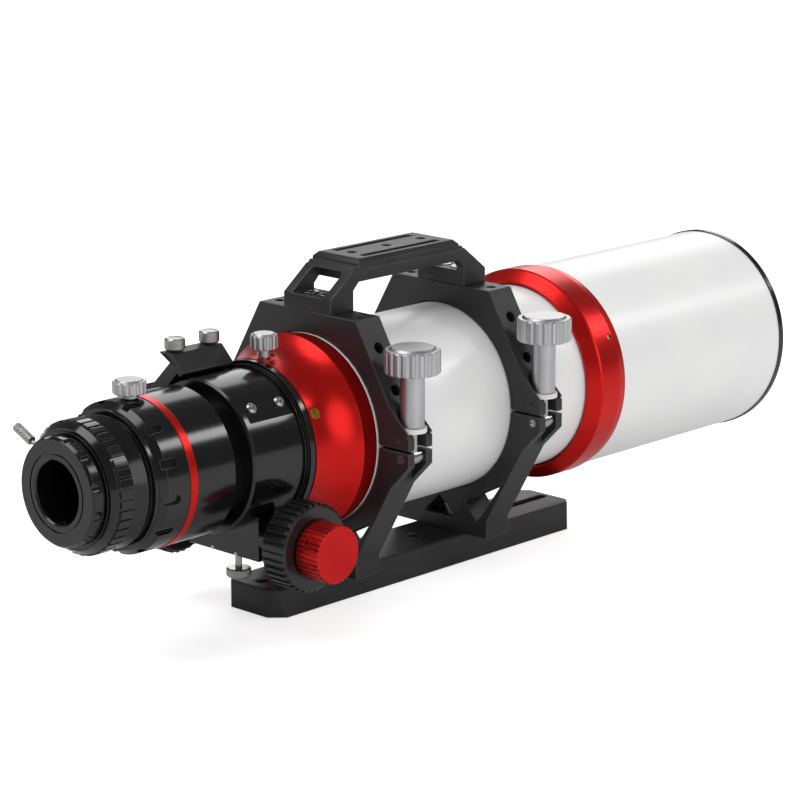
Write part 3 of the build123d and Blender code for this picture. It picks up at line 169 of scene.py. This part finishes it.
# %% Turned metal
def turned_metal(name, dark, light, rough, metallic, axis, edge_highlight_paint, lines=0.10, level=0.5, coat=0.0):
    """axis picks the direction that the part was turned about: 0, 1 or 2."""
    material, tree, shader, place = start(name)
    split = add(tree, "ShaderNodeSeparateXYZ", links=[("Vector", place)])
    along = add(tree, "ShaderNodeCombineXYZ", links=[("X", split.outputs[axis])])
    tool = add(tree, "ShaderNodeTexNoise", links=[("Vector", along.outputs["Vector"])],
               values=[("Scale", 1 / 0.0005), ("Detail", 2.0)]).outputs["Fac"]
    cloud = add(tree, "ShaderNodeTexNoise", links=[("Vector", place)],
                values=[("Scale", 1 / 0.018), ("Detail", 4.0)]).outputs["Fac"]
    edge_highlight_mask, rounded = painted_edge_highlight(tree, place, 0.0004)
    body = ramp(tree, cloud, 0.3, 0.75, dark, light)
    # Along the edges the colour turns lighter: a painted highlight.
    mix = add(tree, "ShaderNodeMix", links=[("Factor", edge_highlight_mask), (6, body)], data_type="RGBA")
    mix.inputs[7].default_value = linear(edge_highlight_paint)
    tree.links.new(mix.outputs[2], shader.inputs["Base Color"])
    both = add(tree, "ShaderNodeMix", links=[(2, tool), (3, cloud)], values=[("Factor", 0.4)])
    tree.links.new(spread(tree, both.outputs[0], rough * 0.8, rough * 1.25), shader.inputs["Roughness"])
    bump = add(tree, "ShaderNodeBump", links=[("Height", tool), ("Normal", rounded)],
               values=[("Strength", lines), ("Distance", 0.00006)])
    tree.links.new(bump.outputs["Normal"], shader.inputs["Normal"])
    shader.inputs["Metallic"].default_value = metallic
    shader.inputs["Specular IOR Level"].default_value = level
    shader.inputs["Coat Weight"].default_value = coat
    shader.inputs["Coat Roughness"].default_value = 0.08
    return material


ACROSS, ALONG, UPRIGHT = 0, 1, 2
gloss = turned_metal("gloss_black_anodised_turned_aluminium", "#0a0a0b", "#0f0f10", 0.15, 0.0,
                     ALONG, "#5c5c5e", 0.04)
gloss_across = turned_metal("black_anodised_knob_aluminium", "#141415", "#1a1a1b", 0.30, 0.0,
                            ACROSS, "#58585a", 0.10)
red = turned_metal("satin_red_anodised_turned_aluminium", "#c81512", "#d61c18", 0.30, 0.8,
                   ALONG, "#e0504a", 0.10)
red_across = turned_metal("satin_red_anodised_knob_aluminium", "#c01012", "#d01a1a", 0.30, 0.8,
                          ACROSS, "#ef6a60", 0.12)
silver = turned_metal("satin_clear_anodised_turned_aluminium", "#b4b4b6", "#c6c6c8", 0.42, 1.0,
                      UPRIGHT, "#e2e2e4", 0.20)
steel = turned_metal("stainless_steel_screw", "#9c9c9e", "#b4b4b6", 0.26, 1.0, ALONG, "#dddddf", 0.1)
nickel = turned_metal("nickel_plated_brass", "#9a9a98", "#adadab", 0.24, 1.0, UPRIGHT, "#e6e6e4", 0.08)
brass = turned_metal("turned_brass", "#c79a3c", "#dab052", 0.34, 1.0, ALONG, "#f0d28a", 0.1)
turned = (gloss, gloss_across, red, red_across, silver, steel, nickel, brass)
print("turned metals:", [m.name for m in turned])

# %% [markdown]
# ## White paint
# The tube and the dew shield are sprayed with satin white paint and baked. Sprayed
# paint flows out to a faint orange peel, ripples about a millimetre across and only
# microns deep, under a thin clear gloss. The peel is what softens the long highlight.
# Inside, both are flat black, so stray light dies there.


# %% Sprayed satin white
AXIS_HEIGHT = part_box("main_tube")[0].z / 2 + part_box("main_tube")[1].z / 2


def inside(tree, place, radius):
    """1 where a point lies nearer the optical axis than radius, else 0."""
    split = add(tree, "ShaderNodeSeparateXYZ", links=[("Vector", place)])
    up = add(tree, "ShaderNodeMath", links=[(0, split.outputs["Z"])], values=[(1, AXIS_HEIGHT)],
             operation="SUBTRACT")
    away = add(tree, "ShaderNodeCombineXYZ", links=[("X", split.outputs["X"]), ("Y", up.outputs[0])])
    reach = add(tree, "ShaderNodeVectorMath", links=[(0, away.outputs["Vector"])], operation="LENGTH")
    near = add(tree, "ShaderNodeMath", links=[(0, reach.outputs["Value"])], values=[(1, radius)],
               operation="LESS_THAN")
    return near.outputs[0]


def sprayed_white(name, radius):
    """White outside, and the flat black of a tube's inside nearer the axis than radius."""
    material, tree, shader, place = start(name)
    peel = add(tree, "ShaderNodeTexNoise", links=[("Vector", place)],
               values=[("Scale", 1 / 0.0011), ("Detail", 1.0)]).outputs["Fac"]
    dust = add(tree, "ShaderNodeTexNoise", links=[("Vector", place)],
               values=[("Scale", 1 / 0.040), ("Detail", 5.0)]).outputs["Fac"]
    edge_highlight_mask, rounded = painted_edge_highlight(tree, place, 0.0005)
    body = ramp(tree, dust, 0.3, 0.7, "#e6e6e6", "#eaeae9")
    # Along the edges the white turns brighter, to #f8f8f6: a painted highlight.
    mix = add(tree, "ShaderNodeMix", links=[("Factor", edge_highlight_mask), (6, body)], data_type="RGBA")
    mix.inputs[7].default_value = linear("#f8f8f6")
    bore = inside(tree, place, radius)
    dull = add(tree, "ShaderNodeMix", links=[("Factor", bore), (6, mix.outputs[2])], data_type="RGBA")
    dull.inputs[7].default_value = linear("#121212")
    tree.links.new(dull.outputs[2], shader.inputs["Base Color"])
    rough = add(tree, "ShaderNodeMath", links=[(0, bore), (2, spread(tree, dust, 0.36, 0.46))],
                values=[(1, 0.45)], operation="MULTIPLY_ADD", use_clamp=True)
    tree.links.new(rough.outputs[0], shader.inputs["Roughness"])
    coat = add(tree, "ShaderNodeMath", links=[(0, bore)], values=[(1, -0.25), (2, 0.25)],
               operation="MULTIPLY_ADD")
    tree.links.new(coat.outputs[0], shader.inputs["Coat Weight"])
    bump = add(tree, "ShaderNodeBump", links=[("Height", peel), ("Normal", rounded)],
               values=[("Strength", 0.10), ("Distance", 0.00005)])
    tree.links.new(bump.outputs["Normal"], shader.inputs["Normal"])
    shader.inputs["Coat Roughness"].default_value = 0.2
    return material


def bore_limit(name, wall):
    """A radius just under a tube's outside, so that all but its skin counts as inside."""
    lowest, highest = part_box(name)
    return (highest.z - lowest.z) / 2 - wall


white_tube = sprayed_white("sprayed_satin_white_tube_paint", bore_limit("main_tube", 0.0012))
white_shield = sprayed_white("sprayed_satin_white_shield_paint", bore_limit("dew_shield", 0.0010))
print("paint:", white_tube.name, white_shield.name)

# %% [markdown]
# ## Nylon, felt, flat black and glass
# The washers under the clamp knobs are turned nylon, a little see-through and waxy.
# Black felt lines the rings. The inside of the tube is sprayed flat black, rough
# enough to swallow light. The lenses are clear glass, and a faint green tint stands
# for their coating.


# %% Soft and optical finishes
def turned_nylon():
    material, tree, shader, place = start("turned_white_nylon")
    cloud = add(tree, "ShaderNodeTexNoise", links=[("Vector", place)],
                values=[("Scale", 1 / 0.004), ("Detail", 3.0)]).outputs["Fac"]
    tree.links.new(ramp(tree, cloud, 0.3, 0.7, "#d9d7d0", "#e6e4de"), shader.inputs["Base Color"])
    tree.links.new(spread(tree, cloud, 0.35, 0.5), shader.inputs["Roughness"])
    bump = add(tree, "ShaderNodeBump", links=[("Height", cloud)],
               values=[("Strength", 0.15), ("Distance", 0.0001)])
    tree.links.new(bump.outputs["Normal"], shader.inputs["Normal"])
    shader.inputs["Subsurface Weight"].default_value = 0.15
    shader.inputs["Subsurface Scale"].default_value = 0.002
    return material


def pressed_felt():
    material, tree, shader, place = start("pressed_black_felt")
    hair = add(tree, "ShaderNodeTexNoise", links=[("Vector", place)],
               values=[("Scale", 1 / 0.0006), ("Detail", 6.0)]).outputs["Fac"]
    tree.links.new(ramp(tree, hair, 0.3, 0.7, "#0d0d0d", "#242424"), shader.inputs["Base Color"])
    tree.links.new(spread(tree, hair, 0.85, 1.0), shader.inputs["Roughness"])
    bump = add(tree, "ShaderNodeBump", links=[("Height", hair)],
               values=[("Strength", 0.6), ("Distance", 0.0004)])
    tree.links.new(bump.outputs["Normal"], shader.inputs["Normal"])
    shader.inputs["Sheen Weight"].default_value = 0.2
    return material


def flat_black():
    material, tree, shader, place = start("sprayed_flat_black_paint")
    grit = add(tree, "ShaderNodeTexNoise", links=[("Vector", place)],
               values=[("Scale", 1 / 0.0005), ("Detail", 3.0)]).outputs["Fac"]
    tree.links.new(ramp(tree, grit, 0.3, 0.7, "#0a0a0a", "#161616"), shader.inputs["Base Color"])
    tree.links.new(spread(tree, grit, 0.75, 0.95), shader.inputs["Roughness"])
    bump = add(tree, "ShaderNodeBump", links=[("Height", grit)],
               values=[("Strength", 0.3), ("Distance", 0.0002)])
    tree.links.new(bump.outputs["Normal"], shader.inputs["Normal"])
    return material


def coated_glass():
    material, tree, shader, place = start("coated_optical_glass")
    shade = add(tree, "ShaderNodeTexNoise", links=[("Vector", place)],
                values=[("Scale", 1 / 0.030), ("Detail", 1.0)]).outputs["Fac"]
    tree.links.new(ramp(tree, shade, 0.3, 0.7, "#dcefe6", "#e6f4ee"), shader.inputs["Base Color"])
    tree.links.new(spread(tree, shade, 0.0, 0.02), shader.inputs["Roughness"])
    shader.inputs["Transmission Weight"].default_value = 1.0
    shader.inputs["IOR"].default_value = 1.52
    return material


nylon, felt, baffle, glass = turned_nylon(), pressed_felt(), flat_black(), coated_glass()
print("others:", [m.name for m in (nylon, felt, baffle, glass)])

# %% [markdown]
# ## Which piece wears which finish
# A turned or milled piece whose shape is already right keeps its mesh and only
# takes a finish. Each finish is listed once, with the pieces that wear it.

# %% Give out the finishes
wearers = [
    (blasted, "dovetail_bar ring_base_rear ring_base_front ring_top_rear ring_top_front "
              "handle_rail finder_shoe hinge_pins"),
    (gloss, "focuser_body pinion_cap body_flange pinion_bushes drawtube rotator_housing rotator_ring "
            "eyepiece_holder clamp_ring eyepiece_adapter shield_rim"),
    (gloss_across, "coarse_knob_right coarse_knob_left"),
    (red, "cone_adapter accent_ring shield_collar"),
    (red_across, "fine_knob"),
    (silver, "clamp_knob_rear clamp_knob_front rotator_lock_knob focuser_lock_knob"),
    (steel, "swing_bolt_rear swing_bolt_front foot_screws handle_screws cap_screws button_screws "
            "shoe_screws collar_screws adapter_set_screws pinion_shaft gear_rack fork_pins"),
    (nickel, "shoe_thumbscrew_rear shoe_thumbscrew_front tension_screw ring_thumbscrew"),
    (brass, "brass_screw"),
    (white_tube, "main_tube"),
    (white_shield, "dew_shield"),
    (nylon, "clamp_washer_rear clamp_washer_front"),
    (felt, "base_felts top_felts collar_felt"),
    (baffle, "tube_baffles objective_cell lens_spacer lens_retainer"),
    (glass, "rear_lens front_lens"),
]
for finish, names in wearers:
    for name in names.split():
        nodes[name].data.materials.clear()
        nodes[name].data.materials.append(finish)
bare = sorted(set(nodes) - {name for finish, names in wearers for name in names.split()})
print("pieces with no finish:", bare)

# %% [markdown]
# ## Milled pieces with their edges broken
# A milled edge is never left sharp: a small cutter runs along it and takes off a few
# tenths of a millimetre. That narrow band catches the light and outlines the piece.
# Each milled piece is copied, its loose triangles are joined, flat areas are cleared
# of lines, and every edge sharper than a fixed angle gets the band.


# %% Broken edges
record = frame["record"]
body_of = {node: body for body, held in record["behaviour"]["bodies"].items() for node in held}
EDGE = 0.00035               # width of the band that a deburring cutter leaves
SAME_POINT = 0.00001
FLAT_ENOUGH = radians(1.0)
SHARP_ENOUGH = radians(28.0)
CREASE = radians(22.0)       # faces that meet more sharply than this are shaded apart


def finished(shape, title, name, finish):
    """Turns mesh code into a piece that stands for a node and rides with its body."""
    mesh = bpy.data.meshes.new(title)
    shape.to_mesh(mesh)
    shape.free()
    mesh.shade_smooth()
    mesh.set_sharp_from_angle(angle=CREASE)
    piece = bpy.data.objects.new(title, mesh)
    bpy.context.scene.collection.objects.link(piece)
    mesh.materials.append(finish)
    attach(piece, body_of[name])
    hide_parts(name)
    return piece


def broken_edges(name, finish):
    """Stands for a milled node, with its sharp edges taken off."""
    shape = bmesh.new()
    shape.from_mesh(nodes[name].data)
    bmesh.ops.remove_doubles(shape, verts=shape.verts, dist=SAME_POINT)
    bmesh.ops.dissolve_limit(shape, angle_limit=FLAT_ENOUGH, verts=shape.verts, edges=shape.edges)
    sharp = [e for e in shape.edges if len(e.link_faces) == 2 and e.calc_face_angle(0.0) > SHARP_ENOUGH]
    bmesh.ops.bevel(shape, geom=sharp, offset=EDGE, offset_type="OFFSET", segments=2, profile=0.5,
                    affect="EDGES", clamp_overlap=False, material=-1)
    bmesh.ops.recalc_face_normals(shape, faces=shape.faces)
    return finished(shape, name + "_milled", name, finish)


milled = ("dovetail_bar ring_base_rear ring_base_front ring_top_rear ring_top_front "
          "handle_rail finder_shoe")
for name in milled.split():
    piece = broken_edges(name, blasted)
    print(piece.name, len(piece.data.polygons), "faces")

# %% [markdown]
# ## Knurled screws
# A thumbscrew's grip is rolled: two wheels with slanted teeth press crossing grooves
# into the drum and leave a field of small pyramids. On the mesh, every second point
# of a grid stands proud, and each cell is split along its two low corners, so the
# grooves between the pyramids run on the slant.


# %% Knurled drum on a stem
EASE = 0.0005                # rounding at the two ends of a drum


def knurled_screw(name, centre, direction, stem_r, stem, drum_r, drum, teeth, rows, depth, finish):
    """A screw turned about direction: stem and drum give their ends along it from centre."""
    shape = bmesh.new()
    count = 2 * teeth
    ease = min(EASE, (drum[1] - drum[0]) / 8)
    low, high = drum[0] + ease, drum[1] - ease
    profile = [(stem_r * 0.7, stem[0]), (stem_r, stem[0] + 0.0003), (stem_r, drum[0]),
               (drum_r - ease - depth, drum[0]), (drum_r - depth, low)]
    knurl_start = len(profile)
    profile += [(drum_r, low + (high - low) * (i + 0.5) / rows) for i in range(rows)]
    profile += [(drum_r - depth, high), (drum_r - ease - depth, drum[1]), (drum_r * 0.72, drum[1]),
                (drum_r * 0.66, drum[1] - 0.0002)]
    rings = []
    for row, (radius, level) in enumerate(profile):
        ring = []
        for k in range(count):
            knurled = knurl_start <= row < knurl_start + rows
            r = radius - depth if knurled and (k + row) % 2 else radius
            ring.append(shape.verts.new((r * cos(2 * pi * k / count), r * sin(2 * pi * k / count), level)))
        rings.append(ring)
    for row, (lower, upper) in enumerate(zip(rings, rings[1:])):
        for k in range(count):
            a, b = lower[k], lower[(k + 1) % count]
            c, d = upper[(k + 1) % count], upper[k]
            if (k + row) % 2:
                shape.faces.new((a, b, c))
                shape.faces.new((a, c, d))
            else:
                shape.faces.new((a, b, d))
                shape.faces.new((b, c, d))
    shape.faces.new(list(reversed(rings[0])))
    shape.faces.new(rings[-1])
    turn = Vector(direction).to_track_quat("Z", "Y").to_matrix()
    bmesh.ops.rotate(shape, verts=shape.verts, cent=(0, 0, 0), matrix=turn)
    bmesh.ops.translate(shape, verts=shape.verts, vec=centre)
    bmesh.ops.recalc_face_normals(shape, faces=shape.faces)
    piece = finished(shape, name + "_knurled", name, finish)
    print(piece.name, len(piece.data.polygons), "faces")
    return piece


def upright_screw(name, up, drum_r, grip, teeth, rows, depth, finish):
    """A knurled screw that stands on Z: up is 1 with the grip on top and -1 with it below."""
    lowest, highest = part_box(name)
    foot = lowest if up > 0 else highest
    centre = ((lowest[0] + highest[0]) / 2, (lowest[1] + highest[1]) / 2, foot[2])
    tall = highest[2] - lowest[2]
    return knurled_screw(name, centre, (0, 0, up), STEM_R, (0.0, tall), drum_r, (tall - grip, tall),
                         teeth, rows, depth, finish)


# %% The four knurled screws
STEM_R = 0.0018
for name in ("shoe_thumbscrew_rear", "shoe_thumbscrew_front"):
    upright_screw(name, 1, drum_r=0.00538, grip=0.006, teeth=30, rows=9, depth=0.00022, finish=nickel)
upright_screw("tension_screw", -1, drum_r=0.00655, grip=0.0047, teeth=34, rows=7, depth=0.00025,
              finish=nickel)

slant = radians(155.0)
outward = Vector((cos(slant), 0.0, sin(slant)))
on_axis = Vector((0.0, -0.22935, 0.0903))
knurled_screw("ring_thumbscrew", on_axis, outward, stem_r=0.0011, stem=(0.0294, 0.039),
              drum_r=0.00258, drum=(0.039, 0.0523), teeth=15, rows=17, depth=0.0002, finish=nickel)

# %% [markdown]
# ## Studio
# A pale floor runs out to the horizon. Broad suns with soft edges stand for large
# soft boxes, because their light is as strong far away as near, so the floor stays
# even. The camera and the glass see a plain white sky. Polished pieces mirror a much
# dimmer one, as they do between dark cards, so glossy black stays deep and only the
# lamps leave bright streaks on it.


# %% Floor and sky
bpy.ops.mesh.primitive_plane_add(size=60.0, location=(0.0, 0.0, -0.0002))
floor = bpy.context.object
floor.name = "floor"
floor_paint, tree, shader, place = start("pale_studio_floor")
mottle = add(tree, "ShaderNodeTexNoise", links=[("Vector", place)], values=[("Scale", 3.0)]).outputs["Fac"]
tree.links.new(ramp(tree, mottle, 0.3, 0.7, "#e9e9e9", "#ebebeb"), shader.inputs["Base Color"])
shader.inputs["Roughness"].default_value = 0.9
shader.inputs["Specular IOR Level"].default_value = 0.1
path = add(tree, "ShaderNodeLightPath")
lift = add(tree, "ShaderNodeMath", links=[(0, path.outputs["Is Camera Ray"])], values=[(1, 0.60)],
           operation="MULTIPLY")
tree.links.new(lift.outputs[0], shader.inputs["Emission Strength"])
shader.inputs["Emission Color"].default_value = (1, 1, 1, 1)
floor.data.materials.append(floor_paint)

world = bpy.data.worlds.new("white_studio_sky")
bpy.context.scene.world = world
world.use_nodes = True
sky = world.node_tree
path = add(sky, "ShaderNodeLightPath")
seen = add(sky, "ShaderNodeMath", operation="MAXIMUM",
           links=[(0, path.outputs["Is Camera Ray"]), (1, path.outputs["Is Transmission Ray"])])
dim = add(sky, "ShaderNodeMapRange", links=[("Value", path.outputs["Is Glossy Ray"])],
          values=[("To Min", 0.52), ("To Max", 0.18)])
strength = add(sky, "ShaderNodeMath", links=[(0, seen.outputs[0]), (2, dim.outputs["Result"])],
               values=[(1, 0.48)], operation="MULTIPLY_ADD")
sky.links.new(strength.outputs[0], sky.nodes["Background"].inputs["Strength"])
sky.nodes["Background"].inputs["Color"].default_value = (1, 1, 1, 1)


# %% Lamps
def soft_sun(name, toward, power, spread_degrees):
    """A lamp with the same light everywhere, shining along the toward direction."""
    data = bpy.data.lights.new(name, "SUN")
    data.energy = power
    data.angle = radians(spread_degrees)
    lamp = bpy.data.objects.new(name, data)
    bpy.context.scene.collection.objects.link(lamp)
    lamp.rotation_euler = Vector(toward).to_track_quat("-Z", "Y").to_euler()
    return lamp


soft_sun("key_above_left", (0.35, 0.45, -1.0), 1.1, 35)
soft_sun("fill_right", (-1.0, 0.15, -0.35), 0.8, 45)
soft_sun("strip_behind_right", (-0.47, -0.71, -0.54), 0.38, 13)
soft_sun("box_behind_left", (0.55, -0.71, -0.44), 0.55, 32)

# %% Camera
camera_data = bpy.data.cameras.new("camera")
camera = bpy.data.objects.new("camera", camera_data)
bpy.context.scene.collection.objects.link(camera)
camera_data.lens = 135.48
camera_data.sensor_width = 36.0
camera_data.shift_x = -0.0110
camera_data.shift_y = -0.0068
camera.location = (1.0857, -1.1380, 0.4888)
look = Vector((0.0, 0.0022, 0.0947)) - camera.location
camera.rotation_euler = look.to_track_quat("-Z", "Y").to_euler()
bpy.context.scene.camera = camera
bpy.context.scene.view_settings.view_transform = "Standard"
